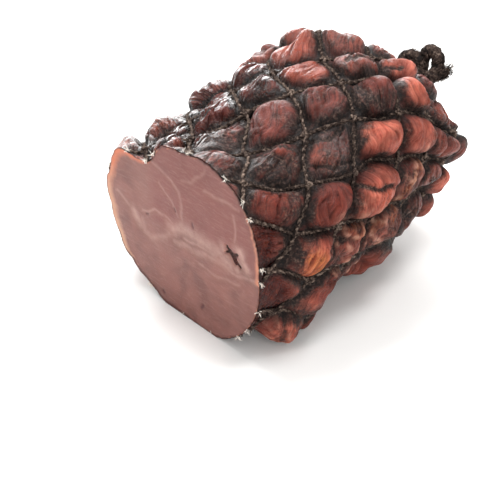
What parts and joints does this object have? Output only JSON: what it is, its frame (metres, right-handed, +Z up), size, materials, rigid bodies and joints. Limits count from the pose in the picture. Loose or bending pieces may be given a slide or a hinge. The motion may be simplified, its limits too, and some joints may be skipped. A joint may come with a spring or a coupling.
{
  "type": "smoked ham",
  "caption": "Boned smoked ham tied in a string net, dark and crusty outside, cut flat at one end to show the pink meat.",
  "frame": {"origin": "middle of the part's footprint, on the surface it lies on", "axes": "+Z up; +Y from the cut face to the tied end; +X to the right seen from the cut face"},
  "size_m": [0.1672, 0.2246, 0.1473],
  "materials": {
    "ham_bark": null,
    "net_string": "fuzzy cotton string, sooty from the smoke"
  },
  "bodies": {
    "root": {"ham": "ham_bark", "net": "net_string"}
  },
  "joints": []
}
